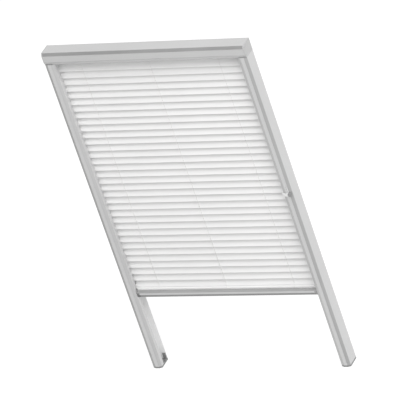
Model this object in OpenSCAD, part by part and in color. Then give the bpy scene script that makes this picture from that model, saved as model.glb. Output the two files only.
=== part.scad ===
// Venetian blind for a roof window, in millimetres.
// The blind stands upright: X runs across it, +Y towards the glass and +Z up the rails.
// The origin is the centre of the headrail's four fixing holes, on the back plane.

/* [Blind] */
// Width over the two side rails
blind_w = 612; // [540:1:1200]
// Height from the feet of the side rails to the top of the headrail
blind_h = 1043; // [920:1:1400]

/* [Slats] */
// Width of a slat between its edges
slat_w = 25; // [24:0.5:26]
// Thickness of the slat strip
slat_t = 0.3; // [0.2:0.05:0.4]
// Height of a slat's crown
slat_crown = 2; // [1:0.1:2.5]
// Radius of a slat's corners
slat_corner_r = 4; // [1:0.5:8]
// Spacing of the hanging slats
slat_pitch = 21.5; // [19:0.5:22]
// Tilt of the slats, front edge down, in degrees
slat_tilt = 55; // [30:1:62]
// Length of a slat inside each side rail
slat_lap = 5; // [3:0.5:7]
// Drop from the headrail to the axis of the top slat
top_drop = 25; // [20:1:32]
// Number of slats gathered on the bottom bar
gathered_count = 10; // [2:1:12]
// Spacing of the gathered slats
gathered_pitch = 0.45; // [0.45:0.05:0.55]

/* [Side rails] */
// Width of a side rail
rail_w = 28; // [26:0.5:32]
// Wall of the rail extrusion
rail_wall = 1.4; // [1.2:0.1:1.8]
// Depth of the closed box in front of the slat channel
rail_box_d = 15.2; // [13:0.2:18]
// Play between a slat and each side of the channel
slat_play = 0.7; // [0.5:0.1:1.2]
// Height of a rail's foot plate
foot_t = 5; // [3:0.5:8]

/* [Face] */
// Width of the sloped bands along the face of the rails and the headrail
slope_w = 8; // [6:0.5:10]
// Depth of the sloped bands
slope_d = 3.6; // [2:0.2:5]
// Width of the fine groove beside each sloped band
groove_w = 0.8; // [0.4:0.1:1.2]
// Depth of the fine groove
groove_d = 0.5; // [0.3:0.1:0.7]

/* [Headrail] */
// Height of the headrail
head_h = 37; // [35:1:42]
// Wall of the headrail extrusion
head_wall = 1.4; // [1.2:0.1:1.8]
// Height of the lips along the open back
head_lip = 8; // [6:0.5:9]
// Thickness of the end cap's plate
cap_t = 3; // [2:0.5:4]
// Length of the end cap inside the headrail
cap_plug = 10; // [6:1:12]
// Distance from a rail's outer side to its fixing bracket
bracket_inset = 66; // [56:1:74]
// Width of a fixing bracket
bracket_w = 24; // [18:1:30]
// Thickness of the bracket's steel
bracket_t = 1.5; // [1:0.1:2]
// Spacing of the two holes in a bracket
bracket_pitch = 11; // [9:0.5:12]
// Radius of every fixing hole
fix_hole_r = 2.2; // [1.6:0.1:2.6]

/* [Bottom bar] */
// Drop from the axis of the lowest hanging slat to the top of the bar
bar_drop = 17.5; // [17.5:0.5:30]
// Height of the bottom bar
bar_h = 17; // [15:0.5:20]
// Wall of the bar extrusion
bar_wall = 1.3; // [1:0.1:1.6]
// Reach of the bar's nose in front of its flat top
bar_nose = 10; // [8:0.5:12]
// Width of a guide between the bar and the rail
guide_w = 8; // [6:0.5:12]
// Height of a guide's shoe and ear above the bar
guide_rise = 8; // [6:1:16]

/* [Tilt gear] */
// Distance from a rail's outer side to the nearest ladder
ladder_inset = 97.5; // [96:0.5:156]
// Diameter of the ladder cords
ladder_cord_d = 0.9; // [0.6:0.1:1.2]
// Side of the square tilt shaft
shaft_side = 5; // [4:0.5:6]
// Length of a ladder drum between its flanges
drum_l = 9; // [6:0.5:12]
// Radius of the drum's bearing hubs
hub_r = 4.6; // [4.3:0.1:5.5]
// Length of each bearing hub
hub_l = 4; // [3:0.5:5]
// Radius of the tilt cord's path round its pulleys
pulley_r = 9; // [8:0.5:10]
// Width of the tilt pulleys
pulley_w = 4.4; // [4:0.2:5]
// Diameter of the tilt cord
tilt_cord_d = 1.4; // [1:0.1:1.8]
// Distance from a rail's outer side to the tilt cord
tilt_inset = 11; // [10:0.5:12]
// Height of the tilt slider above the feet
slider_z = 570; // [300:5:800]
// Radius of the slider's button
button_r = 6; // [4:0.5:6.5]
// Distance from a rail's outer side to the middle of the button
button_inset = 7; // [6.5:0.5:11]
// Turn of the tilt shaft from this tilt to closed, in degrees
turn_to_closed = 20; // [5:5:25]
// Turn of the tilt shaft from this tilt to fully reversed, in degrees
turn_to_reversed = 130; // [90:5:150]

/* [Fits] */
// Radial clearance of a turning bearing
run_gap = 0.08; // [0.02:0.01:0.1]
// Clearance of a sliding piece
slide_gap = 0.4; // [0.3:0.05:0.6]
// Clearance between a cord and what it passes
cord_gap = 0.2; // [0.15:0.05:0.4]

/* [Hidden] */
$fn = 48;
arc_fn = 240;
corner_steps = 4;
hung_slats = 34;
over = 1;

rail_out = blind_w / 2;
rail_in = rail_out - rail_w;
channel_y = slat_w / 2 + slat_play;
back_y = channel_y + rail_wall;
front_y = -channel_y - rail_box_d;
slope_angle = atan(slope_d / slope_w);
head_z = blind_h - head_h;
fix_z = head_z + head_h / 2;
head_end = rail_out - cap_t;
bracket_x = rail_out - bracket_inset;
ladder_x = rail_out - ladder_inset;

slat_half = rail_in + slat_lap;
slat_arc_r = (pow(slat_w / 2, 2) + pow(slat_crown, 2)) / (2 * slat_crown);
slat_edge_dip = slat_t * 1.06;
rest_gap = 0.1;

string_room = 0.5;
string_y = slat_w / 2 * cos(slat_tilt) + slat_t + ladder_cord_d / 2 + cord_gap;
string_foot_y = slat_w / 2 + ladder_cord_d / 2 + cord_gap;
bar_top = slat_z(hung_slats) - bar_drop;
bar_z = bar_top - bar_h;
bar_half = rail_in - slide_gap - guide_w;
bar_back = string_foot_y + ladder_cord_d / 2 + string_room;
nose_y = -bar_back - bar_nose;
brow_drop = 3.5;
nose_drop = 8.8;
grip_d = 3.6;
stack_z = bar_top + slat_edge_dip + rest_gap;
stack_top = stack_z + (gathered_count - 1) * gathered_pitch + slat_crown;
string_bend_z = stack_top + ladder_cord_d / 2 + cord_gap;
spread_z = string_bend_z + string_foot_y - string_y;

guide_plug_l = 14;
shoe_gap = 1.5;
shoe_room = 1;
shoe_step = 0.6;
ear_t = 1.2;
ear_d = 3.6;

drum_r = string_y - ladder_cord_d / 2;
flange_r = drum_r + 2.2;
flange_t = 1;
cradle_gap = 0.5;
cradle_floor_t = 2;
cradle_front_y = 1 - channel_y;
cradle_back_y = channel_y - 2;
bearing_wall = 2;
cheek_t = 2.2;
shaft_play = 0.1;
shaft_stub = 22;
shaft_end_r = 0.45 * shaft_side;
shaft_end_l = 3.8;
shaft_reach = 0.6;

tilt_x = rail_out - tilt_inset;
pulley_rim_r = pulley_r + 1.6;
pulley_flare = 0.4;
collar_l = 2;
collar_wall = 1.4;
idler_z = foot_t + pulley_rim_r + cradle_gap;
idler_cheek_r = 5;
trunnion_r = 2;
string_slot_w = 4;
string_slot_room = 1.6;
cord_slot_w = 3.6;

stem_w = 3.6;
stem_h = 8;
saddle_t = 2.4;
saddle_h = 8.4;
button_x = rail_out - button_inset;
button_h = 2.2;
dish_r = 9;
dish_d = 1.1;
travel_down = turn_to_closed * PI / 180 * pulley_r;
travel_up = turn_to_reversed * PI / 180 * pulley_r;
cover_t = 0.8;
cover_lap = 0.6;

foot_hole_x = rail_in + 5.6;
foot_hole_z = foot_t + 11;
foot_plug_h = 12;
foot_lug_w = 8.4;
foot_lug_h = 18;
foot_lug_d = 3;
plug_play = 0.2;

port_r = 3;
port_bore_r = 1.3;
port_y = front_y + slope_d + 3.6;
port_zs = [head_z + head_wall + 2.2, blind_h - head_wall - 2.2];
screw_r = port_bore_r - 0.02;
screw_l = 9;
screw_hole_r = 1.5;
screw_head_r = 2.7;
screw_head_t = 1.4;
screw_seat_t = 1.6;
screw_slot_l = 3.4;
screw_slot_w = 0.7;

tongue_t = 1.6;
tongue_y = 1;
spigot_l = 12;
spigot_d = 5.4;
spigot_x = rail_in + rail_wall + 1;
spigot_y = -channel_y - rail_wall - 0.4 - spigot_d;
boss_l = 2.4;
neck_room = 3;
hook_h = 3.4;
hook_gap = 0.3;

// Name of a hanging slat, counted from the top
function slat_name(i) = str("slat_", i < 10 ? "0" : "", i);

// Height of a hanging slat's axis above the feet
function slat_z(i) = head_z - top_drop - (i - 1) * slat_pitch;

function unit(v) = v / norm(v);
function turned(v, a) = [v.x * cos(a) - v.y * sin(a), v.x * sin(a) + v.y * cos(a)];
function flat(p) = [p[0], p[1]];

// Points of the round corner of radius r at p, on the way from a to b
function corner(a, p, b, r) =
    let (u = unit(a - p), v = unit(b - p), half = acos(u * v) / 2,
         centre = p + unit(u + v) * r / sin(half), start = p + u * r / tan(half),
         turn = (180 - 2 * half) * (u.x * v.y - u.y * v.x < 0 ? 1 : -1))
    [for (k = [0:corner_steps]) centre + turned(start - centre, turn * k / corner_steps)];

// Closed outline through points [x, y, corner radius]
function rounded(points) =
    let (n = len(points))
    [for (i = [0:n - 1]) let (p = points[i])
        each p[2] == 0 ? [flat(p)]
            : corner(flat(points[(i + n - 1) % n]), flat(p), flat(points[(i + 1) % n]), p[2])];

// Moves a piece from the bench, with z = 0 at the feet, to the blind's own origin
module in_frame() translate([0, -back_y, -fix_z]) children();

// The left-hand pieces mirror the right-hand ones
module on_side(side) mirror([side < 0 ? 1 : 0, 0, 0]) children();

// Extrudes a section drawn in Y and Z along X, from x0 for a length
module along_x(x0, length) translate([x0, 0, 0]) rotate([90, 0, 90]) linear_extrude(length) children();

// Round bar along X
module rod_x(x0, length, r) along_x(x0, length) circle(r);

// Ring whose top is the slat's crown, with the slat's edges on the axis
module slat_ring() translate([0, slat_crown - slat_arc_r]) difference() {
    circle(slat_arc_r, $fn = arc_fn);
    circle(slat_arc_r - slat_t, $fn = arc_fn);
}

// Outline of a slat seen from above
module slat_plan() polygon(rounded([
    for (corner = [[-1, -1], [1, -1], [1, 1], [-1, 1]])
        [corner.x * slat_half, corner.y * slat_w / 2, slat_corner_r]]));

// One slat, flat, with its axis on X
module slat_strip() intersection() {
    along_x(-slat_half - over, 2 * (slat_half + over)) slat_ring();
    translate([0, 0, -slat_crown]) linear_extrude(3 * slat_crown) slat_plan();
}

module slat(i) color("WhiteSmoke") in_frame()
    translate([0, 0, slat_z(i)]) rotate([slat_tilt, 0, 0]) slat_strip();

module gathered_slats() color("WhiteSmoke") in_frame()
    for (k = [0:gathered_count - 1])
        translate([0, 0, stack_z + k * gathered_pitch]) slat_strip();

// Closed outline of a rail seen from above
function rail_outline() = rounded([
    [rail_in, front_y + slope_d, 1.2], [rail_in + slope_w, front_y, 1.5],
    [rail_out - slope_w, front_y, 1.5], [rail_out, front_y + slope_d, 1.2],
    [rail_out, back_y, 1], [rail_in, back_y, 0.5]]);

// Hollow of the rail's front box, narrowed all round by play
function box_hollow(play) =
    let (wall = rail_wall + play, slope_y = wall / cos(slope_angle) + front_y,
         shoulder = wall * tan(slope_angle / 2))
    rounded([
        [rail_in + wall, slope_y + (slope_w - wall) * tan(slope_angle), 0.5],
        [rail_in + slope_w + shoulder, front_y + wall, 0.5],
        [rail_out - slope_w - shoulder, front_y + wall, 0.5],
        [rail_out - wall, slope_y + (slope_w - wall) * tan(slope_angle), 0.5],
        [rail_out - wall, -channel_y - wall, 0.5],
        [rail_in + wall, -channel_y - wall, 0.5]]);

// Extruded section of a side rail: a box with the slat channel behind it
module rail_section() difference() {
    polygon(rail_outline());
    polygon(box_hollow(0));
    polygon(rounded([
        [rail_in - over, -channel_y, 0], [rail_out - rail_wall, -channel_y, 0.6],
        [rail_out - rail_wall, channel_y, 0.6], [rail_in - over, channel_y, 0]]));
    for (x = [rail_in + slope_w + groove_w, rail_out - slope_w - groove_w])
        translate([x - groove_w / 2, front_y - over]) square([groove_w, groove_d + over]);
}

module side_rail(side) color("Silver") in_frame() on_side(side) difference() {
    translate([0, 0, foot_t]) linear_extrude(head_z - foot_t) rail_section();
    translate([foot_hole_x, channel_y - over, foot_hole_z])
        rotate([-90, 0, 0]) cylinder(r = fix_hole_r, h = rail_wall + 2 * over);
    if (side > 0)
        translate([tilt_x - stem_w / 2 - slide_gap, front_y - over,
                   slider_z - stem_h / 2 - travel_down - slide_gap])
            cube([stem_w + 2 * slide_gap, over + rail_box_d + over,
                  stem_h + travel_down + travel_up + 2 * slide_gap]);
}

// Plastic foot that closes a rail; the right-hand one carries the idler
module rail_foot(side) color("DimGray") in_frame() on_side(side) {
    linear_extrude(foot_t) polygon(rail_outline());
    translate([0, 0, foot_t]) linear_extrude(foot_plug_h) polygon(box_hollow(plug_play));
    difference() {
        translate([foot_hole_x - foot_lug_w / 2, channel_y - foot_lug_d, foot_t])
            cube([foot_lug_w, foot_lug_d, foot_lug_h]);
        translate([foot_hole_x, channel_y - foot_lug_d - over, foot_hole_z])
            rotate([-90, 0, 0]) cylinder(r = fix_hole_r, h = foot_lug_d + 2 * over);
    }
    if (side > 0)
        for (x = [tilt_x - pulley_w / 2 - cradle_gap - cheek_t, tilt_x + pulley_w / 2 + cradle_gap])
            along_x(x, cheek_t) difference() {
                union() {
                    translate([-idler_cheek_r, foot_t]) square([2 * idler_cheek_r, idler_z - foot_t]);
                    translate([0, idler_z]) circle(idler_cheek_r);
                }
                translate([0, idler_z]) circle(trunnion_r + run_gap);
            }
}

// Closed outline of the headrail seen from its end
function head_outline() = rounded([
    [front_y + slope_d, head_z, 1.2], [back_y, head_z, 0.8], [back_y, blind_h, 0.8],
    [front_y + slope_d, blind_h, 1.2], [front_y, blind_h - slope_w, 1.5],
    [front_y, head_z + slope_w, 1.5]]);

// Inside of the headrail
function head_hollow() =
    let (deep = front_y + head_wall)
    rounded([
        [deep, head_z + slope_w, 1], [deep + slope_d, head_z + head_wall, 1],
        [back_y - head_wall, head_z + head_wall, 0.6], [back_y - head_wall, blind_h - head_wall, 0.6],
        [deep + slope_d, blind_h - head_wall, 1], [deep, blind_h - slope_w, 1]]);

// Extruded section of the headrail, open at the back between two lips
module head_section() difference() {
    union() {
        difference() {
            polygon(head_outline());
            polygon(head_hollow());
        }
        for (z = port_zs) translate([port_y, z]) circle(port_r);
    }
    translate([back_y - head_wall - over, head_z + head_lip])
        square([head_wall + 2 * over, head_h - 2 * head_lip]);
    for (z = port_zs) translate([port_y, z]) circle(port_bore_r);
    for (z = [head_z + slope_w + groove_w, blind_h - slope_w - groove_w])
        translate([front_y - over, z - groove_w / 2]) square([groove_d + over, groove_w]);
}

module headrail() color("Silver") in_frame() difference() {
    along_x(-head_end, 2 * head_end) head_section();
    for (x = ladder_xs()) translate([x, 0, head_z - over]) string_slot(head_wall + 2 * over);
    translate([tilt_x - cord_slot_w / 2, -pulley_r - cord_slot_w / 2, head_z - over])
        cube([cord_slot_w, 2 * pulley_r + cord_slot_w, head_wall + 2 * over]);
    for (side = [-1, 1]) on_side(side)
        translate([spigot_x - plug_play, spigot_y - plug_play, head_z - over])
            cube([head_end - spigot_x + over, spigot_d + 2 * plug_play, head_wall + neck_room + over]);
}

// Middle of each ladder
function ladder_xs() = [-ladder_x, 0, ladder_x];

// Slot that lets a ladder's two strings through
module string_slot(depth)
    translate([-string_slot_w / 2, -string_y - string_slot_room, 0])
        cube([string_slot_w, 2 * (string_y + string_slot_room), depth]);

// End cap: a plate, two tongues, a plug that closes the rail below on a short neck, and, on
// the right, the shaft's bearing
module headrail_cap(side) color("DarkGray") in_frame() on_side(side) difference() {
    union() {
        along_x(head_end, cap_t) polygon(head_outline());
        for (z = [head_z + head_wall, blind_h - head_wall - tongue_t])
            translate([head_end - cap_plug, tongue_y, z])
                cube([cap_plug + over, back_y - head_wall - tongue_y - 2, tongue_t]);
        translate([0, 0, head_z - spigot_l]) linear_extrude(spigot_l) polygon(box_hollow(plug_play));
        translate([spigot_x, spigot_y, head_z - over])
            cube([head_end - spigot_x + over, spigot_d, over + head_wall + tongue_t]);
        if (side > 0)
            translate([0, 0, fix_z]) rod_x(head_end - boss_l, boss_l + over, shaft_end_r + boss_l);
    }
    for (z = port_zs) translate([0, port_y, z]) {
        rod_x(spigot_x - over, rail_out - spigot_x + 2 * over, screw_hole_r);
        rod_x(rail_out - screw_seat_t, screw_seat_t + over, screw_head_r + plug_play);
    }
    if (side > 0) {
        translate([0, 0, fix_z])
            rod_x(head_end - boss_l - over, boss_l + 2 * over, shaft_end_r + run_gap);
        translate([head_end - cap_plug - over, pulley_r - cord_slot_w / 2, head_z])
            cube([tilt_x - head_end + cap_plug + over + cord_slot_w / 2,
                  back_y - head_wall - pulley_r + cord_slot_w / 2, head_h / 2]);
    }
}

// Self-tapping screws that hold the caps in the headrail's screw ports
module cap_screws() color("Gray") in_frame()
    for (side = [-1, 1], z = port_zs) on_side(side) translate([0, port_y, z]) difference() {
        union() {
            rod_x(rail_out - screw_seat_t, screw_head_t, screw_head_r);
            rod_x(head_end - screw_l, screw_l + cap_t - screw_seat_t, screw_r);
        }
        along_x(rail_out - 1, over) square([screw_slot_l, screw_slot_w], center = true);
        along_x(rail_out - 1, over) square([screw_slot_w, screw_slot_l], center = true);
    }

// Steel bracket that hooks behind the headrail's two lips
module bracket(side) color("LightSteelBlue") in_frame() on_side(side) difference() {
    pad_z = head_z + head_lip + hook_gap;
    pad_h = head_h - 2 * (head_lip + hook_gap);
    plate_y = back_y - head_wall - bracket_t;
    union() {
        translate([bracket_x - bracket_w / 2, plate_y, pad_z]) cube([bracket_w, back_y - plate_y, pad_h]);
        translate([bracket_x - bracket_w / 2, plate_y, pad_z - hook_h])
            cube([bracket_w, bracket_t, pad_h + 2 * hook_h]);
    }
    for (s = [-1, 1])
        translate([bracket_x, plate_y - over, fix_z + s * bracket_pitch / 2])
            rotate([-90, 0, 0]) cylinder(r = fix_hole_r, h = back_y - plate_y + 2 * over);
}

// Square steel shaft, turned down at the end that runs in the right-hand cap
module tilt_shaft() color("SlateGray") in_frame() translate([0, 0, fix_z]) {
    along_x(-ladder_x - shaft_stub, ladder_x + shaft_stub + head_end - boss_l - cradle_gap)
        square(shaft_side, center = true);
    rod_x(head_end + shaft_reach - shaft_end_l, shaft_end_l, shaft_end_r);
}

// Drum that winds one ladder: two hubs, two flanges and a core
module ladder_drum(x) color("DimGray") in_frame() translate([x, 0, fix_z]) difference() {
    union() {
        rod_x(-drum_l / 2 - flange_t - hub_l, drum_l + 2 * flange_t + 2 * hub_l, hub_r);
        rod_x(-drum_l / 2, drum_l, drum_r);
        for (s = [-1, 1]) rod_x(s * (drum_l + flange_t) / 2 - flange_t / 2, flange_t, flange_r);
    }
    along_x(-drum_l - hub_l, 2 * (drum_l + hub_l)) square(shaft_side + shaft_play, center = true);
}

// Cradle on the headrail's floor, with one bearing at each end of its drum
module drum_cradle(x) color("Gainsboro") in_frame() translate([x, 0, 0]) difference() {
    reach = drum_l / 2 + flange_t + cradle_gap;
    floor_z = head_z + head_wall;
    bearing_r = hub_r + bearing_wall;
    union() {
        translate([-reach - cheek_t, cradle_front_y, floor_z])
            cube([2 * (reach + cheek_t), cradle_back_y - cradle_front_y, cradle_floor_t]);
        for (x0 = [-reach - cheek_t, reach])
            along_x(x0, cheek_t) {
                translate([-bearing_r, floor_z]) square([2 * bearing_r, fix_z - floor_z]);
                translate([0, fix_z]) circle(bearing_r);
            }
    }
    translate([0, 0, fix_z]) rod_x(-reach - 2 * cheek_t, 2 * reach + 4 * cheek_t, hub_r + run_gap);
    translate([0, 0, fix_z]) rod_x(-reach, 2 * reach, flange_r + cradle_gap);
    translate([0, 0, floor_z - over]) string_slot(cradle_floor_t + 2 * over);
}

// Section of a grooved pulley, for turning: r is the cord's own path
module pulley_section() difference() {
    translate([0, -pulley_w / 2]) square([pulley_rim_r, pulley_w]);
    polygon([
        [pulley_r - tilt_cord_d / 2 - cord_gap, -tilt_cord_d / 2 - cord_gap],
        [pulley_rim_r + over, -pulley_w / 2 - pulley_flare],
        [pulley_rim_r + over, pulley_w / 2 + pulley_flare],
        [pulley_r - tilt_cord_d / 2 - cord_gap, tilt_cord_d / 2 + cord_gap]]);
}

module pulley_wheel() rotate([0, 90, 0]) rotate_extrude() pulley_section();

module tilt_pulley() color("DimGray") in_frame() translate([tilt_x, 0, fix_z]) difference() {
    union() {
        pulley_wheel();
        rod_x(-pulley_w / 2 - collar_l, pulley_w / 2 + collar_l, shaft_side * sqrt(2) / 2 + collar_wall);
    }
    along_x(-pulley_w, 2 * pulley_w) square(shaft_side + shaft_play, center = true);
}

module idler_pulley() color("DimGray") in_frame() translate([tilt_x, 0, idler_z]) {
    pulley_wheel();
    rod_x(-pulley_w / 2 - cradle_gap - cheek_t, pulley_w + 2 * (cradle_gap + cheek_t), trunnion_r);
}

// Half turn of the tilt cord round a pulley
module cord_turn(z, up) translate([tilt_x, 0, z]) rotate([0, up ? 0 : 180, 0])
    rotate([90, 0, 90]) rotate_extrude(angle = 180) translate([pulley_r, 0]) circle(tilt_cord_d / 2);

// Endless tilt cord in the right-hand rail
module tilt_cord() color("Ivory") in_frame() {
    for (y = [-pulley_r, pulley_r])
        translate([tilt_x, y, idler_z]) cylinder(r = tilt_cord_d / 2, h = fix_z - idler_z);
    cord_turn(fix_z, true);
    cord_turn(idler_z, false);
}

// Tilt slider: a saddle over the rail's inner edge that clears the bar's nose, a low dished
// button, a stem that grips the cord, and a strip inside the rail that keeps the slot covered
module tilt_slider() color("LightGray") in_frame() translate([0, 0, slider_z]) difference() {
    near = front_y - slide_gap;
    far = near - saddle_t;
    cover_half = stem_h / 2 + travel_down + travel_up + slide_gap + cover_lap;
    cover_w = stem_w + 2 * (slide_gap + cover_lap);
    union() {
        translate([0, 0, -saddle_h / 2]) linear_extrude(saddle_h) polygon(rounded([
            [rail_in - slide_gap, nose_y - slide_gap, 0],
            [rail_in - slide_gap, near + slope_d, 0],
            [rail_in + slope_w - slide_gap / 2, near, 0.3],
            [button_x + button_r, near, 0],
            [button_x + button_r, far, 1],
            [rail_in + slope_w - slide_gap, far, 1.5],
            [rail_in - slide_gap - saddle_t, far + slope_d, 1.2],
            [rail_in - slide_gap - saddle_t, nose_y - slide_gap, 0.5]]));
        translate([button_x, near, 0]) rotate([90, 0, 0]) {
            cylinder(r = button_r, h = saddle_t + button_h - 1);
            cylinder(r = button_r - 1, h = saddle_t + button_h);
        }
        translate([tilt_x - stem_w / 2, near - over, -stem_h / 2])
            cube([stem_w, over - near - pulley_r + tilt_cord_d + 2 * cord_gap, stem_h]);
        translate([tilt_x - cover_w / 2, front_y + rail_wall + slide_gap, -cover_half])
            cube([cover_w, cover_t, 2 * cover_half]);
    }
    translate([tilt_x, -pulley_r, -stem_h]) cylinder(r = tilt_cord_d / 2 + cord_gap, h = 2 * stem_h);
    translate([button_x, far - button_h - dish_r + dish_d, 0]) sphere(dish_r, $fn = 96);
}

// One string of a ladder, on the side s of the slats
module ladder_string(s) {
    r = ladder_cord_d / 2;
    slant = sqrt(2) * (string_foot_y - string_y);
    translate([0, s * string_y, spread_z]) {
        cylinder(r = r, h = fix_z - spread_z);
        rotate([-s * 135, 0, 0]) cylinder(r = r, h = slant + r);
    }
    translate([0, s * string_foot_y, bar_top + cord_gap])
        cylinder(r = r, h = string_bend_z - bar_top - cord_gap + r);
}

// Three ladders of cord; each slat lies on a rung between the two strings, but the lowest,
// whose rung has come down on the gathered slats
module ladder_cords() color("White") in_frame() for (x = ladder_xs()) translate([x, 0, 0]) {
    $fn = 6;
    rung_half = string_y / cos(slat_tilt);
    for (s = [-1, 1]) ladder_string(s);
    for (i = [1:hung_slats - 1])
        translate([0, 0, slat_z(i)]) rotate([slat_tilt, 0, 0])
            translate([0, 0, -slat_edge_dip - cord_gap - ladder_cord_d / 2])
                rotate([90, 0, 0]) cylinder(r = ladder_cord_d / 2, h = 2 * rung_half, center = true);
}

// Outline of the bottom bar seen from its end: flat top, sloped brow, nose and finger grip
function bar_outline() = rounded([
    [bar_back, bar_top, 1], [-bar_back, bar_top, 1.5], [nose_y + 0.6, bar_top - brow_drop, 1],
    [nose_y, bar_top - nose_drop, 0.8], [nose_y + grip_d, bar_top - nose_drop - 1.6, 0.8],
    [nose_y + grip_d, bar_z + 1.8, 0.6], [nose_y + grip_d - 1.4, bar_z, 0.5], [bar_back, bar_z, 1]]);

// Hollow of the bar behind its grip, narrowed all round by play
function bar_hollow(play) =
    let (wall = bar_wall + play, face = nose_y + grip_d + wall)
    rounded([
        [bar_back - wall, bar_top - wall, 0.5], [-bar_back, bar_top - wall, 0.5],
        [face, bar_top - brow_drop - wall, 0.5], [face, bar_z + wall, 0.5],
        [bar_back - wall, bar_z + wall, 0.5]]);

module bottom_bar() color("DarkGray") in_frame()
    along_x(-bar_half, 2 * bar_half) difference() {
        polygon(bar_outline());
        polygon(bar_hollow(0));
    }

// Plastic guide at each end of the bar: a plug, a shoulder with an ear that steadies it on
// the rail's inner wall, and a shoe that runs in the channel
module bar_guide(side) color("DimGray") in_frame() on_side(side) {
    shoulder_x = bar_half + guide_w;
    shoe_y = channel_y - slide_gap;
    shoe_x0 = slat_half + shoe_gap;
    shoe_x1 = rail_out - rail_wall - slide_gap;
    slot_w = stem_w + 2 * shoe_room;
    slot_y = pulley_r - 2 * tilt_cord_d;
    along_x(bar_half - guide_plug_l, guide_plug_l + over) polygon(bar_hollow(plug_play));
    along_x(bar_half, guide_w) polygon(bar_outline());
    translate([0, -bar_back, 0]) rotate([90, 0, 0]) linear_extrude(ear_d) polygon([
        [shoulder_x - 3 * ear_t, bar_top - brow_drop], [shoulder_x, bar_top - brow_drop],
        [shoulder_x, bar_top + guide_rise], [shoulder_x - ear_t, bar_top + guide_rise],
        [shoulder_x - ear_t, bar_top + 3 * ear_t]]);
    translate([shoulder_x - over, -shoe_y, bar_z])
        cube([shoe_x0 - shoulder_x + 2 * over, 2 * shoe_y, bar_h - shoe_step]);
    translate([0, 0, bar_z]) linear_extrude(bar_h + guide_rise) difference() {
        polygon(rounded([
            [shoe_x0, -shoe_y, 0.8], [shoe_x1, -shoe_y, 0.8],
            [shoe_x1, shoe_y, 0.8], [shoe_x0, shoe_y, 0.8]]));
        for (s = [-1, 1])
            translate([tilt_x - slot_w / 2, s > 0 ? slot_y : -shoe_y - over])
                square([slot_w, shoe_y - slot_y + over]);
    }
}

headrail();
headrail_cap(-1);  // headrail_cap_left
headrail_cap(1);  // headrail_cap_right
cap_screws();
bracket(-1);  // bracket_left
bracket(1);  // bracket_right
tilt_shaft();
ladder_drum(-ladder_x);  // ladder_drum_left
ladder_drum(0);  // ladder_drum_middle
ladder_drum(ladder_x);  // ladder_drum_right
drum_cradle(-ladder_x);  // drum_cradle_left
drum_cradle(0);  // drum_cradle_middle
drum_cradle(ladder_x);  // drum_cradle_right
tilt_pulley();
idler_pulley();
tilt_cord();
tilt_slider();
side_rail(-1);  // side_rail_left
side_rail(1);  // side_rail_right
rail_foot(-1);  // rail_foot_left
rail_foot(1);  // rail_foot_right
ladder_cords();
bottom_bar();
bar_guide(-1);  // bar_guide_left
bar_guide(1);  // bar_guide_right
gathered_slats();
for (i = [1:hung_slats])
    slat(i);
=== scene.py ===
import math

import bmesh
import bpy
from mathutils import Matrix, Quaternion, Vector


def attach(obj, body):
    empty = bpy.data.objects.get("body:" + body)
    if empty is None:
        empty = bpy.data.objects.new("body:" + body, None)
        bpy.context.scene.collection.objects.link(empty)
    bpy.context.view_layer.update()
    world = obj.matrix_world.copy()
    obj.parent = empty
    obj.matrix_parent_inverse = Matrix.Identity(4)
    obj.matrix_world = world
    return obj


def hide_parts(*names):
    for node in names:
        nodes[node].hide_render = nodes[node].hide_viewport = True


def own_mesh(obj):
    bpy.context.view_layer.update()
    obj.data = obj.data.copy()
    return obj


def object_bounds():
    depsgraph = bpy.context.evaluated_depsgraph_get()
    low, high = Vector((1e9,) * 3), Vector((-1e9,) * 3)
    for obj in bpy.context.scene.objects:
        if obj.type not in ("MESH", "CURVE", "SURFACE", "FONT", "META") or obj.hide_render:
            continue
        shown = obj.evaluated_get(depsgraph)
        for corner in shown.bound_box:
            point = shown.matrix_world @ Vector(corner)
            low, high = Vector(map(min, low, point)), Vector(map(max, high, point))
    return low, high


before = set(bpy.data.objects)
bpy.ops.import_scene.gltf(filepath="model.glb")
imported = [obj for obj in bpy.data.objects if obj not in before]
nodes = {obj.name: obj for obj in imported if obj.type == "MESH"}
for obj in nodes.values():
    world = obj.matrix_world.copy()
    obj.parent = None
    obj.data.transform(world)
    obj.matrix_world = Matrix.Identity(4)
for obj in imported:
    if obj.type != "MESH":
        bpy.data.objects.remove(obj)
cad_box = [list(corner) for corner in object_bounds()]

# Side rails. Two aluminium extrusions, natural anodised, each a closed box in front of the
# channel that the slat ends run in. Their face has a flat middle between two sloped bands, which
# carry fine lengthwise ribs and are painted darker than the flat as painted shade. The inside of
# the channel is painted near white, as painted light.


class Signal:
    """A node's output, on which arithmetic adds Math nodes."""

    def __init__(self, shading, socket):
        self.shading, self.socket = shading, socket

    def math(self, operation, *others):
        return self.shading.node("Math", {"operation": operation}, (self, *others))

    def __add__(self, other):
        return self.math("ADD", other)

    def __sub__(self, other):
        return self.math("SUBTRACT", other)

    def __mul__(self, other):
        return self.math("MULTIPLY", other)

    def __rsub__(self, other):
        return self.shading.node("Math", {"operation": "SUBTRACT"}, (other, self))

    __radd__ = __add__
    __rmul__ = __mul__

    def between(self, low, high, soft):
        """1 where the value lies from low to high, falling to 0 over soft on each side."""
        rise = self.shading.node("MapRange", {"interpolation_type": "SMOOTHSTEP"},
                                 (self, low - soft, low, 0.0, 1.0))
        fall = self.shading.node("MapRange", {"interpolation_type": "SMOOTHSTEP"},
                                 (self, high, high + soft, 1.0, 0.0))
        return rise * fall


class Shading:
    """A node tree, and the method that adds any node to it."""

    def __init__(self, tree):
        self.tree = tree

    def node(self, kind, settings=None, sockets=(), output=0):
        made = self.tree.nodes.new("ShaderNode" + kind)
        for label, value in (settings or {}).items():
            setattr(made, label, value)
        pairs = sockets.items() if isinstance(sockets, dict) else enumerate(sockets)
        for key, value in pairs:
            if isinstance(value, Signal):
                self.tree.links.new(value.socket, made.inputs[key])
            else:
                made.inputs[key].default_value = value
        return Signal(self, made.outputs[output])


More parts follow.
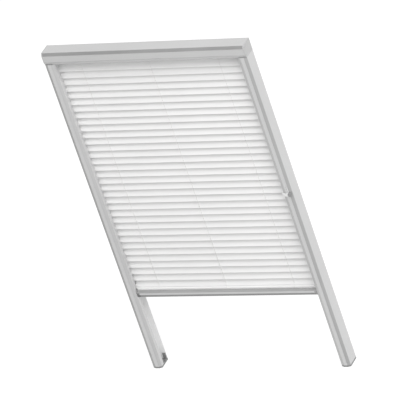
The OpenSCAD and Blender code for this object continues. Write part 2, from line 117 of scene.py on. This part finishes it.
class Finish(Shading):
    """A material grown from its Principled shader. Constants go on the shader's own sockets."""

    def __init__(self, name, **constants):
        self.material = bpy.data.materials.new(name)
        self.material.use_nodes = True
        super().__init__(self.material.node_tree)
        self.shader = self.tree.nodes["Principled BSDF"]
        self.place = self.node("TexCoord", output="Object")
        for label, value in constants.items():
            self.shader.inputs[label.replace("_", " ")].default_value = value

    def axes(self):
        split = self.node("SeparateXYZ", sockets=(self.place,))
        return [Signal(self, output) for output in split.socket.node.outputs]

    def noise(self, scale, stretch=(1, 1, 1), detail=3.0):
        mapped = self.node("Mapping", sockets={"Vector": self.place, "Scale": stretch})
        return self.node("TexNoise", sockets={"Vector": mapped, "Scale": scale, "Detail": detail,
                                              "Roughness": 0.55})

    def blend(self, factor, first, second):
        return self.node("Mix", {"data_type": "RGBA"}, {0: factor, 6: first, 7: second}, output=2)

    def bump(self, height, depth, strength):
        return self.node("Bump", sockets={"Strength": strength, "Distance": depth, "Height": height})

    def drive(self, **links):
        for label, value in links.items():
            self.tree.links.new(value.socket, self.shader.inputs[label.replace("_", " ")])
        return self

    def coat(self, *names):
        for name in names:
            nodes[name].data.materials.clear()
            nodes[name].data.materials.append(self.material)


def grey(level, warmth=0.0):
    """A linear grey, a little warm or cool."""
    return (level * (1 + warmth), level, level * (1 - warmth), 1.0)


ANODISED_METAL = 0.35
DRAWN_SCALE, DRAWN_STRETCH, CLOUD_SCALE = 1500.0, 0.006, 9.0
DRAWN_TINT, CLOUD_TINT, TINT_GREY = 0.16, 0.14, 0.86
ANODISED_ROUGH, DRAWN_ROUGH, RIBBED_ROUGH = 0.30, 0.16, 0.1
RIB_PITCH, RIB_DEPTH, RIB_STRENGTH, DRAWN_HEIGHT = 0.0012, 0.00006, 0.6, 0.25


def anodised(name, along, ribbed_and_shaded, flat_grey, rib_shade_grey, painted_tone=None, painted_grey=0.0):
    """Matt anodised aluminium drawn along one axis. One mask is for ribs, which it also paints darker
    as painted shade; the other paints a patch in its own grey, painted light in the rails' channel
    and painted shade in the bar's grip.
    """
    finish = Finish(name, Metallic=ANODISED_METAL)
    stretch = [1.0, 1.0, 1.0]
    stretch[along] = DRAWN_STRETCH
    streaks = finish.noise(DRAWN_SCALE, stretch, detail=4.0)
    clouds = finish.noise(CLOUD_SCALE)
    ribs_and_shade = ribbed_and_shaded(finish)
    # Painted shade: the ribbed bands take the darker grey.
    tone = finish.blend(ribs_and_shade, grey(flat_grey), grey(rib_shade_grey))
    # The second mask paints a patch in its own grey: painted light in the rails' channel, painted shade in
    # the bar's grip.
    if painted_tone:
        painted_area = painted_tone(finish)
        tone = finish.blend(painted_area, tone, grey(painted_grey))
        finish.drive(Metallic=ANODISED_METAL - painted_area * ANODISED_METAL)
    tinted = finish.blend(streaks * DRAWN_TINT + clouds * CLOUD_TINT, tone, grey(TINT_GREY))
    ribs = (finish.axes()[0 if along == 2 else 2] * (2 * math.pi / RIB_PITCH)).math("SINE")
    relief = finish.bump(streaks * DRAWN_HEIGHT + ribs * ribs_and_shade, RIB_DEPTH, RIB_STRENGTH)
    rough = ANODISED_ROUGH + streaks * DRAWN_ROUGH + ribs_and_shade * RIBBED_ROUGH
    return finish.drive(Base_Color=tinted, Roughness=rough, Normal=relief)


RAIL_OUT = cad_box[1][0]
RAIL_IN = RAIL_OUT - 0.028
FRONT_Y, SLOPE_W, SLOPE_D = -0.043, 0.008, 0.0036
SOFT_EDGE, SHARP_EDGE, PAST_EDGE, FAR = 0.0004, 0.00005, 0.001, 1.0
# Painted shade: the sloped bands take the second, darker grey, the inner band only partly.
RAIL_GREY, RAIL_SLOPE_SHADE_GREY, INNER_RIBS_AND_SHADE = 0.56, 0.32, 0.45
CHANNEL_FRONT_Y, CHANNEL_BACK_Y, CHANNEL_WALL = -0.0279, -0.0012, 0.0013
# Painted light: the inside of the channel is painted near white.
CHANNEL_PAINTED_LIGHT = 0.95


# Mask of the sloped bands, for their ribs and their painted shade.
def rail_ribs_and_shade(finish):
    x, y, _ = finish.axes()
    across = x.math("ABSOLUTE")
    inner = across.between(RAIL_IN - PAST_EDGE, RAIL_IN + SLOPE_W, SOFT_EDGE)
    outer = across.between(RAIL_OUT - SLOPE_W, RAIL_OUT + PAST_EDGE, SOFT_EDGE)
    face = y.between(FRONT_Y - PAST_EDGE, FRONT_Y + SLOPE_D, SOFT_EDGE)
    return (inner * INNER_RIBS_AND_SHADE + outer) * face


# Mask of the channel's inside, which is painted near white as painted light.
def channel(finish):
    x, y, _ = finish.axes()
    inside = x.math("ABSOLUTE").between(0.0, RAIL_OUT - CHANNEL_WALL, SHARP_EDGE)
    return inside * y.between(CHANNEL_FRONT_Y, CHANNEL_BACK_Y, SHARP_EDGE)


rail = anodised("anodised_rail", 2, rail_ribs_and_shade, RAIL_GREY, RAIL_SLOPE_SHADE_GREY, channel, CHANNEL_PAINTED_LIGHT)
rail.coat("side_rail_left", "side_rail_right")

# Headrail. The same profile turned on its side, cut to length and open at the back, where it
# hooks over the two brackets. It is painted darker than the rails as painted shade, its upper
# sloped band most of all.

HEAD_HIGH = cad_box[1][2]
HEAD_LOW = -HEAD_HIGH
# Painted shade: the flat grey is darker than the rails', and the upper sloped band darker still.
HEAD_SHADED_GREY, HEAD_SLOPE_SHADE_GREY, LOW_RIBS_AND_SHADE, HIGH_RIBS_AND_SHADE = 0.50, 0.20, 0.1, 0.95


# Mask of the sloped bands, for their ribs and their painted shade.
def head_ribs_and_shade(finish):
    _, y, z = finish.axes()
    low = z.between(HEAD_LOW - PAST_EDGE, HEAD_LOW + SLOPE_W, SOFT_EDGE)
    high = z.between(HEAD_HIGH - SLOPE_W, HEAD_HIGH + PAST_EDGE, SOFT_EDGE)
    face = y.between(FRONT_Y - PAST_EDGE, FRONT_Y + SLOPE_D, SOFT_EDGE)
    return (low * LOW_RIBS_AND_SHADE + high * HIGH_RIBS_AND_SHADE) * face


anodised("anodised_headrail", 0, head_ribs_and_shade, HEAD_SHADED_GREY, HEAD_SLOPE_SHADE_GREY).coat("headrail")

# Bottom bar. A hollow aluminium extrusion with a flat top for the slats to gather on, a
# sloped face, a nose and a finger grip below it. All but the nose strip is painted darker as
# painted shade, and the grip's recess darker still, as painted shade.

BAR_TOP = -0.7705
STRIP_LOW, STRIP_HIGH = BAR_TOP - 0.0092, BAR_TOP - 0.0036
GRIP_DROP, GRIP_EDGE = 0.001, 0.0008
# Painted shade: the bar is greyer than the rails, all but its nose strip darker, the grip darkest.
BAR_SHADED_GREY, BAR_SLOPE_SHADE_GREY, GRIP_SHADE_GREY = 0.51, 0.32, 0.24


# Mask of all but the nose strip, for ribs and painted shade.
def bar_ribs_and_shade(finish):
    return 1 - finish.axes()[2].between(STRIP_LOW, STRIP_HIGH, SOFT_EDGE)


# Mask of the grip, painted darker as painted shade in its recess.
def shaded_grip(finish):
    return finish.axes()[2].between(-FAR, STRIP_LOW - GRIP_DROP, GRIP_EDGE)


anodised("anodised_bar", 0, bar_ribs_and_shade, BAR_SHADED_GREY, BAR_SLOPE_SHADE_GREY, shaded_grip, GRIP_SHADE_GREY).coat("bottom_bar")

# Moulded plastics. Grey for the headrail's caps, dark grey for the rails' feet, near black for
# drums and pulleys, and pale for the bearings inside the headrail. All have a fine grain.

PLASTIC_SPECULAR, PLASTIC_ROUGH = 0.45, 0.42
GRAIN_SCALE, GRAIN_DEPTH, GRAIN_STRENGTH, GRAIN_ROUGH = 2600.0, 0.00004, 0.5, 0.12
MOTTLE_SCALE, MOTTLE = 60.0, 0.07


def grained(finish, tone, rough=PLASTIC_ROUGH, spread=GRAIN_ROUGH):
    """Gives a plastic its colour and the fine grain of a spark-eroded mould."""
    grain = finish.noise(GRAIN_SCALE, detail=2.0)
    return finish.drive(Base_Color=tone, Roughness=rough + grain * spread,
                        Normal=finish.bump(grain, GRAIN_DEPTH, GRAIN_STRENGTH))


def moulded(name, shade, warmth=0.0):
    finish = Finish(name, Specular_IOR_Level=PLASTIC_SPECULAR)
    mottle = finish.noise(MOTTLE_SCALE)
    return grained(finish, finish.blend(mottle, grey(shade * (1 - MOTTLE), warmth),
                                        grey(shade * (1 + MOTTLE), warmth)))


moulded("grey_plastic", 0.5).coat("headrail_cap_left", "headrail_cap_right")
moulded("foot_plastic", 0.26).coat("rail_foot_left", "rail_foot_right")
moulded("dark_plastic", 0.07).coat("ladder_drum_left", "ladder_drum_middle", "ladder_drum_right",
                                   "tilt_pulley", "idler_pulley")
moulded("pale_plastic", 0.66, 0.01).coat("drum_cradle_left", "drum_cradle_middle", "drum_cradle_right")

# Bar guides. One moulding at each end of the bar: the shoulder that closes the bar is grey, and
# the ear and the shoe that run on the rail are painted darker as painted shade inside the rail, as
# is the nose of the left shoulder.

# Painted shade: the second grey, on the parts inside the rail and on the left shoulder's nose.
SHOULDER_GREY, RUNNING_SHADE_GREY = 0.38, 0.19
EAR_PLAY, EAR_EDGE, NOSE_EDGE = 0.0016, 0.0001, 0.0003

guide = Finish("guide_plastic", Specular_IOR_Level=PLASTIC_SPECULAR)
x, _, z = guide.axes()
running = x.math("ABSOLUTE").between(RAIL_IN - EAR_PLAY, FAR, EAR_EDGE)
shaded_left_nose = x.between(-FAR, 0.0, NOSE_EDGE) * z.between(-FAR, STRIP_HIGH, NOSE_EDGE)
dark = (running + shaded_left_nose).math("MINIMUM", 1.0)
grained(guide, guide.blend(dark, grey(SHOULDER_GREY), grey(RUNNING_SHADE_GREY)))
guide.coat("bar_guide_left", "bar_guide_right")

# Tilt slider. One moulding: a light saddle over the rail's inner edge and a low round button on
# it, hollowed for a fingertip. The button and the moulding beyond it towards the rail's outer edge
# are painted dark grey, as painted shade in the hollow.

BUTTON_X, SLIDER_Z, BUTTON_R = 0.299, -0.4545, 0.006
BUTTON_EDGE, STRAIGHT_EDGE = 0.00015, 0.0001
# Painted shade: the second grey, on the button and beyond it, stands in for the shade of the hollow.
SADDLE_GREY, BUTTON_SHADE_GREY, SLIDER_ROUGH, SLIDER_GRAIN = 0.84, 0.31, 0.4, 0.15

slider = Finish("slider_plastic", Specular_IOR_Level=PLASTIC_SPECULAR)
x, _, z = slider.axes()
radius = ((x - BUTTON_X) * (x - BUTTON_X) + (z - SLIDER_Z) * (z - SLIDER_Z)).math("SQRT")
round_end = radius.between(-FAR, BUTTON_R, BUTTON_EDGE)
shaded_button = (round_end + x.between(BUTTON_X, FAR, STRAIGHT_EDGE)).math("MINIMUM", 1.0)
grained(slider, slider.blend(shaded_button, grey(SADDLE_GREY), grey(BUTTON_SHADE_GREY)), SLIDER_ROUGH, SLIDER_GRAIN)
slider.coat("tilt_slider")

# Steel. Bright zinc plate with its faint cloudy bloom, on the brackets, the square shaft and
# the cap screws.

BLUE_ZINC, PALE_ZINC = (0.50, 0.52, 0.56, 1), (0.78, 0.78, 0.76, 1)
BLOOM_SCALE, ZINC_ROUGH, BLOOM_ROUGH = 140.0, 0.22, 0.25

zinc = Finish("zinc_steel", Metallic=1.0)
bloom = zinc.noise(BLOOM_SCALE, detail=5.0)
zinc.drive(Base_Color=zinc.blend(bloom, BLUE_ZINC, PALE_ZINC), Roughness=ZINC_ROUGH + bloom * BLOOM_ROUGH)
zinc.coat("bracket_left", "bracket_right", "tilt_shaft", "cap_screws")

# Slats. Crowned aluminium strip, coil-coated in satin white and cut to length with rounded
# corners. The lacquer has a very fine orange peel along the strip.

SLAT_COUNT = 34
LOW_WHITE, HIGH_WHITE = grey(0.866, 0.002), grey(0.910, 0.003)
CAST_SCALE, CAST_STRETCH = 7.0, (1, 1, 3)
PEEL_SCALE, PEEL_STRETCH, PEEL_DEPTH, PEEL_STRENGTH = 900.0, (0.25, 1, 1), 0.00002, 0.35
LACQUER_ROUGH, PEEL_ROUGH = 0.34, 0.10

lacquer = Finish("white_lacquer", Specular_IOR_Level=0.5)
peel = lacquer.noise(PEEL_SCALE, PEEL_STRETCH, detail=2.0)
cast = lacquer.noise(CAST_SCALE, CAST_STRETCH)
lacquer.drive(Base_Color=lacquer.blend(cast, LOW_WHITE, HIGH_WHITE),
              Roughness=LACQUER_ROUGH + peel * PEEL_ROUGH,
              Normal=lacquer.bump(peel, PEEL_DEPTH, PEEL_STRENGTH))
lacquer.coat("gathered_slats", *("slat_%02d" % number for number in range(1, SLAT_COUNT + 1)))

# Ladders and tilt cord. Braided white polyester: two strings a ladder and an endless cord on
# the pulleys in the right-hand rail. The strings' feet, spread round the gathered slats, go up
# with the bar.

STRAND, BRAID_DEPTH, BRAID_STRENGTH = 0.0011, 0.0002, 0.7
LOW_BRAID, HIGH_BRAID = grey(0.82, 0.01), grey(0.93, 0.01)

braid = Finish("white_cord", Roughness=0.8, Specular_IOR_Level=0.25)
x, y, z = braid.axes()
turns = 2 * math.pi / STRAND
left, right = ((z + x + y) * turns).math("SINE"), ((z - x - y) * turns).math("SINE")
weave = left * right * 0.5 + 0.5
braid.drive(Base_Color=braid.blend(weave, LOW_BRAID, HIGH_BRAID),
            Normal=braid.bump(weave, BRAID_DEPTH, BRAID_STRENGTH))
braid.coat("tilt_cord")


def tube(shape, points, radius, sides=8):
    """Sweeps a closed tube along points, by extruding its end ring from one to the next."""
    ring = bmesh.ops.create_circle(shape, cap_ends=False, segments=sides, radius=radius)["verts"]
    points = [Vector(point) for point in points]
    heading = Vector((0, 0, 1))
    at = Vector((0, 0, 0))
    loop = [edge for edge in shape.edges if edge.verts[0] in ring]
    bmesh.ops.contextual_create(shape, geom=loop)
    for index, point in enumerate(points):
        before = points[max(index - 1, 0)]
        after = points[min(index + 1, len(points) - 1)]
        facing = (after - before).normalized()
        if index:
            out = bmesh.ops.extrude_edge_only(shape, edges=loop)["geom"]
            ring = [item for item in out if isinstance(item, bmesh.types.BMVert)]
            loop = [item for item in out if isinstance(item, bmesh.types.BMEdge)
                    and all(vert in ring for vert in item.verts)]
        turn = heading.rotation_difference(facing).to_matrix()
        bmesh.ops.rotate(shape, verts=ring, cent=at, matrix=turn)
        bmesh.ops.translate(shape, verts=ring, vec=point - at)
        heading, at = facing, point
    bmesh.ops.contextual_create(shape, geom=loop)


KNOT_R = 0.00048


def knot(shape, at):
    bmesh.ops.create_icosphere(shape, subdivisions=1, radius=KNOT_R, matrix=Matrix.Translation(at))


def piece(shape, name, body, finish):
    """Makes a finished piece of a bmesh, smooth-shaded, and rides it on its body."""
    bmesh.ops.recalc_face_normals(shape, faces=shape.faces)
    mesh = bpy.data.meshes.new(name)
    shape.to_mesh(mesh)
    shape.free()
    mesh.materials.append(finish.material)
    mesh.shade_smooth()
    made = bpy.data.objects.new(name, mesh)
    bpy.context.scene.collection.objects.link(made)
    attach(made, body)
    return made


FLOOR_Z = cad_box[0][2]


def above_feet(height):
    return height + FLOOR_Z


LADDER_XS, CORD_R = (-0.2085, 0.0, 0.2085), 0.00035
SLAT_Y = -0.0146
STRING_Y, STRING_FOOT_Y = 0.008120, 0.013150
ANCHOR_Z, SPREAD_Z = above_feet(0.9945), above_feet(0.26615)
BEND_Z, FOOT_Z = above_feet(0.26112), above_feet(0.2542)
JOIN_Z, SPREAD_TOP_Z, BEND_LOW_Z = SPREAD_Z + 0.001, SPREAD_Z + 0.0005, BEND_Z - 0.001
EASE_Y, EASE_Z = 0.0007, 0.0012
BAR_TRAVEL, DRUM_STEPS, LOOP_LAP = 0.640, 16, 0.0004

strings = bmesh.new()
feet = bmesh.new()
loops = bmesh.new()
for ladder_x in LADDER_XS:
    for side in (-1, 1):
        near, foot = side * STRING_Y + SLAT_Y, side * STRING_FOOT_Y + SLAT_Y
        tube(strings, [(ladder_x, near, ANCHOR_Z), (ladder_x, near, JOIN_Z)], CORD_R)
        tube(feet, [(ladder_x, near, JOIN_Z), (ladder_x, near, SPREAD_TOP_Z),
                    (ladder_x, near + side * EASE_Y, SPREAD_Z - EASE_Z),
                    (ladder_x, foot - side * EASE_Y, BEND_Z + EASE_Z),
                    (ladder_x, foot, BEND_LOW_Z), (ladder_x, foot, FOOT_Z)], CORD_R)
        knot(feet, (ladder_x, near, JOIN_Z))
    over_drum = [(ladder_x, SLAT_Y - math.cos(turn) * STRING_Y, math.sin(turn) * STRING_Y)
                 for turn in (math.pi * step / DRUM_STEPS for step in range(DRUM_STEPS + 1))]
    ends = [(ladder_x, side * STRING_Y + SLAT_Y, ANCHOR_Z - LOOP_LAP) for side in (-1, 1)]
    tube(loops, [ends[0], *over_drum, ends[1]], CORD_R)
strings = piece(strings, "ladder_strings", "root", braid)
1 - BAR_TRAVEL / (ANCHOR_Z - JOIN_Z)
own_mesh(strings)
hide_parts("ladder_cords")
piece(feet, "ladder_feet", "bar", braid)
piece(loops, "ladder_loops", "root", braid)

# Rungs. Short polyester cross strings, one under each slat, knotted to the ladder's strings.
# Each has a slight bow into the hollow of its slat, from lying between nested slats when the
# blind is up. Across is measured along the slat's width, and rise square to it from its edges.

RUNG_COUNT, SLAT_PITCH, TOP_SLAT_Z = 33, 0.0215, above_feet(0.981)
SLAT_HALF, RUNG_R, RUNG_BOW, BOW_STEPS = 0.0125, 0.0002, 0.0016, 8
EDGE_DIP, KNOT_DIP = 0.000566, 0.0008
SLAT_TILT = math.radians(55)
TILT_SIN, TILT_COS = math.sin(SLAT_TILT), math.cos(SLAT_TILT)

rung_line = [((side * STRING_Y - KNOT_DIP * TILT_SIN) / TILT_COS, -KNOT_DIP) for side in (-1, 1)]
for across in (SLAT_HALF * (2 * step / BOW_STEPS - 1) for step in range(BOW_STEPS + 1)):
    rung_line.append((across, RUNG_BOW * (1 - (across / SLAT_HALF) ** 2) - EDGE_DIP))
rung_line.sort()
for number in range(1, RUNG_COUNT + 1):
    rungs = bmesh.new()
    axis_z = TOP_SLAT_Z - (number - 1) * SLAT_PITCH
    for ladder_x in LADDER_XS:
        points = [(ladder_x, across * TILT_COS - rise * TILT_SIN + SLAT_Y,
                   across * TILT_SIN + rise * TILT_COS + axis_z) for across, rise in rung_line]
        tube(rungs, points, RUNG_R, sides=6)
        knot(rungs, points[0])
        knot(rungs, points[-1])
    piece(rungs, "rung_%02d" % number, "slat_%02d" % number, braid)

# Floor and surround. A pale studio floor at the feet of the rails, in a plain white room. Both
# show white to the camera and in reflections, and light the blind only softly.

FLOOR_HALF, FLOOR_DROP = 12.0, 0.0005
LOW_PAPER, HIGH_PAPER, PAPER_SCALE = grey(0.80), grey(0.82), 3.0
GLOW, GLOW_SHARE, FILL_LEVEL = 1.35, 0.6, 0.58

floor_shape = bmesh.new()
bmesh.ops.create_grid(floor_shape, x_segments=1, y_segments=1, size=FLOOR_HALF,
                      matrix=Matrix.Translation((0, 0, FLOOR_Z - FLOOR_DROP)))
floor_mesh = bpy.data.meshes.new("floor")
floor_shape.to_mesh(floor_mesh)
floor_shape.free()
floor = bpy.data.objects.new("floor", floor_mesh)
bpy.context.scene.collection.objects.link(floor)


def looked_at(shading):
    """1 where the camera sees the background, straight, mirrored or through something."""
    seen = shading.node("LightPath", output="Is Camera Ray")
    for ray in ("Is Glossy Ray", "Is Transmission Ray"):
        seen = seen.math("MAXIMUM", shading.node("LightPath", output=ray))
    return seen


paper = Finish("studio_floor", Roughness=0.9, Specular_IOR_Level=0.1)
paper.drive(Base_Color=paper.blend(paper.noise(PAPER_SCALE), LOW_PAPER, HIGH_PAPER))
glow = paper.node("Emission", sockets={"Color": grey(1.0), "Strength": GLOW})
matt = Signal(paper, paper.shader.outputs[0])
sheen = paper.node("MixShader", sockets=(looked_at(paper) * GLOW_SHARE, matt, glow))
paper.tree.links.new(sheen.socket, paper.tree.nodes["Material Output"].inputs["Surface"])
floor_mesh.materials.append(paper.material)

world = bpy.data.worlds.new("surround")
bpy.context.scene.world = world
world.use_nodes = True
surround = Shading(world.node_tree)
strength = surround.node("MapRange", sockets={"Value": looked_at(surround), "To Min": FILL_LEVEL})
backdrop = surround.tree.nodes["Background"]
backdrop.inputs["Color"].default_value = grey(1.0)
surround.tree.links.new(strength.socket, backdrop.inputs["Strength"])

# Light. One large soft lamp above the right front, and a weaker one low on the right that
# lights the rails' outer sides.

CENTRE = Vector((0, SLAT_Y, FLOOR_Z / 2))


def direction(azimuth, elevation):
    """Unit vector from the blind, with azimuth turned from the front to the right."""
    level = math.cos(elevation)
    return Vector((math.sin(azimuth) * level, -math.cos(azimuth) * level, math.sin(elevation)))


def lamp(name, azimuth, elevation, distance, size, level):
    """A square soft lamp aimed at the blind's middle. Level 1 alone lights a white that faces it fully."""
    light = bpy.data.lights.new(name, "AREA")
    light.shape, light.size = "SQUARE", size
    light.energy = level * math.pi ** 2 * distance ** 2
    away = direction(math.radians(azimuth), math.radians(elevation))
    made = bpy.data.objects.new(name, light)
    made.location = CENTRE + away * distance
    made.rotation_mode = "QUATERNION"
    made.rotation_quaternion = (-away).to_track_quat("-Z", "Y")
    bpy.context.scene.collection.objects.link(made)


lamp("key", azimuth=50, elevation=64, distance=4.0, size=2.4, level=0.58)
lamp("side", azimuth=64, elevation=8, distance=4.0, size=2.5, level=0.22)

# Camera. The photograph is taken from far off with a long lens, from the right and above, and
# the picture is turned so that the rails lean.

AZIMUTH, ELEVATION, ROLL = (math.radians(angle) for angle in (33.081, 29.642, -19.187))
DISTANCE, LENS, SENSOR = 15.1234, 504.96, 36.0
AIM = Vector((0.00755, -0.02054, -0.48053))

toward = direction(AZIMUTH, ELEVATION)
lens = bpy.data.cameras.new("camera")
lens.lens, lens.sensor_width = LENS, SENSOR
lens.clip_start, lens.clip_end = 1.0, 100.0
camera = bpy.data.objects.new("camera", lens)
camera.location = AIM + toward * DISTANCE
camera.rotation_mode = "QUATERNION"
camera.rotation_quaternion = (-toward).to_track_quat("-Z", "Y") @ Quaternion((0, 0, 1), ROLL)
bpy.context.scene.collection.objects.link(camera)
bpy.context.scene.camera = camera
bpy.context.scene.view_settings.view_transform = "Standard"
